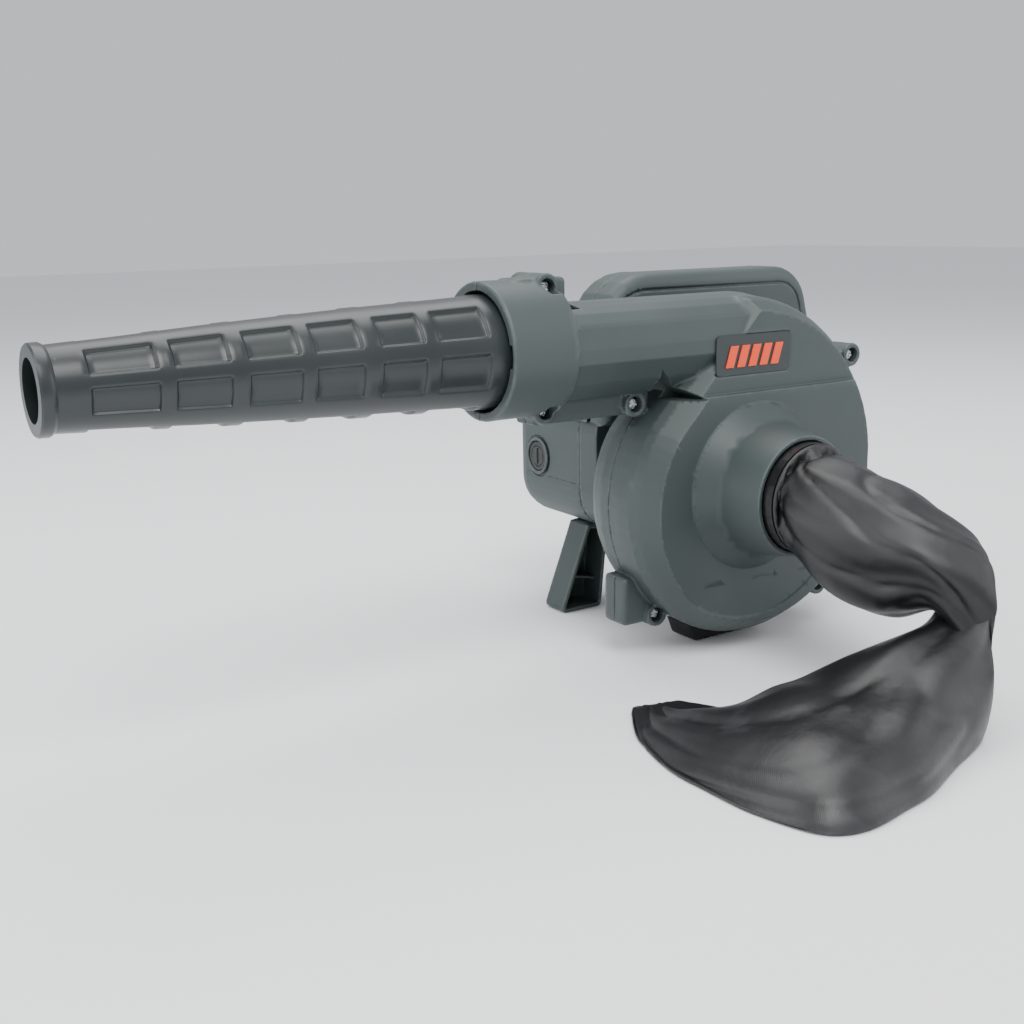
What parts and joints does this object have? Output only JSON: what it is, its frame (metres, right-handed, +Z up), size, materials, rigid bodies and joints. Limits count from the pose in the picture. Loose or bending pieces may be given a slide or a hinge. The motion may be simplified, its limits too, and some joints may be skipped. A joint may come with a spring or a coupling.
{
  "type": "leaf blower",
  "caption": "Hand-held electric blower with a volute fan casing, tapered nozzle, D-handle over the motor, splayed stand and fabric dust bag on the inlet.",
  "frame": {"origin": "on the floor, on the flat bottom of the rubber foot, under the fan axis in the parting plane of the two volute shells", "axes": "-X along the nozzle towards its tip, -Y along the fan axis out of the air inlet, +Z up"},
  "size_m": [0.4988, 0.358, 0.2118],
  "materials": {
    "casing_plastic": "fine spark-eroded texture",
    "nozzle_plastic": "satin",
    "black_plastic": "fine texture",
    "impeller_plastic": "satin",
    "badge": "printed",
    "rubber": "matt",
    "bag_fabric": "coated woven nylon",
    "fastener_steel": "zinc plated",
    "steel": "ground",
    "laminations": "stacked sheet",
    "copper": "enamelled wire and copper bars",
    "brass": "plain",
    "carbon": "pressed carbon"
  },
  "bodies": {
    "casing": {"front_volute_shell": "casing_plastic", "rear_volute_shell": "casing_plastic", "shell_screw_1": "fastener_steel", "shell_screw_2": "fastener_steel", "shell_screw_3": "fastener_steel", "shell_screw_4": "fastener_steel", "shell_screw_5": "fastener_steel", "shell_screw_6": "fastener_steel", "badge_plate": "badge", "rubber_foot": "rubber", "dust_bag": "bag_fabric", "front_bearing": "steel", "rear_bearing": "steel", "rear_bearing_bush": "rubber", "stator_core": "laminations", "field_coil_upper": "copper", "field_coil_lower": "copper", "brush_holder_left": "brass", "carbon_brush_left": "carbon", "brush_spring_left": "steel", "brush_cap_left": "black_plastic", "brush_holder_right": "brass", "carbon_brush_right": "carbon", "brush_spring_right": "steel", "brush_cap_right": "black_plastic", "motor_housing": "casing_plastic", "housing_screw_1": "fastener_steel", "housing_screw_2": "fastener_steel", "housing_screw_3": "fastener_steel", "housing_screw_4": "fastener_steel", "motor_stand": "casing_plastic", "stand_screw_1": "fastener_steel", "stand_screw_2": "fastener_steel", "handle_near_half": "casing_plastic", "handle_far_half": "casing_plastic", "handle_screw_1": "fastener_steel", "handle_screw_2": "fastener_steel", "handle_screw_3": "fastener_steel", "handle_screw_4": "fastener_steel", "trigger_spring": "steel", "switch_body": "black_plastic", "speed_control": "black_plastic", "cord_gland": "rubber", "cord_clamp": "black_plastic", "motor_lead": "black_plastic"},
    "rotor": {"armature_shaft": "steel", "impeller": "impeller_plastic", "impeller_washer": "steel", "impeller_nut": "steel", "impeller_spacer": "steel", "cooling_fan": "black_plastic", "armature_core": "laminations", "armature_winding_front": "copper", "armature_winding_rear": "copper", "commutator": "copper"},
    "nozzle": {"nozzle": "nozzle_plastic"},
    "bag_ring": {"bag_ring": "black_plastic"},
    "trigger": {"trigger": "black_plastic"},
    "lock_button": {"lock_button": "black_plastic"},
    "speed_dial": {"speed_dial": "black_plastic"}
  },
  "joints": [
    {"name": "fan_spin", "type": "hinge", "parent": "casing", "child": "rotor", "pos_m": [0, 0, 0.094], "axis": [0, 1, 0], "continuous": true},
    {"name": "nozzle_twist", "type": "hinge", "parent": "casing", "child": "nozzle", "pos_m": [-0.14, 0, 0.1748], "axis": [-1, 0, 0], "range_deg": [0, 40]},
    {"name": "bag_ring_twist", "type": "hinge", "parent": "casing", "child": "bag_ring", "pos_m": [0, -0.064, 0.094], "axis": [0, -1, 0], "range_deg": [0, 40]},
    {"name": "trigger_pull", "type": "slide", "parent": "casing", "child": "trigger", "axis": [0, 0, 1], "range_m": [0, 0.005], "stiffness_N_per_m": 600, "springref_m": -0.002, "deforming": ["trigger_spring"]},
    {"name": "lock_button_press", "type": "slide", "parent": "casing", "child": "lock_button", "axis": [0, -1, 0], "range_m": [0, 0.0025], "stiffness_N_per_m": 500, "springref_m": -0.001},
    {"name": "speed_dial_turn", "type": "hinge", "parent": "casing", "child": "speed_dial", "pos_m": [0.106, 0.078, 0.152], "axis": [0, 1, 0], "range_deg": [0, 270]}
  ]
}
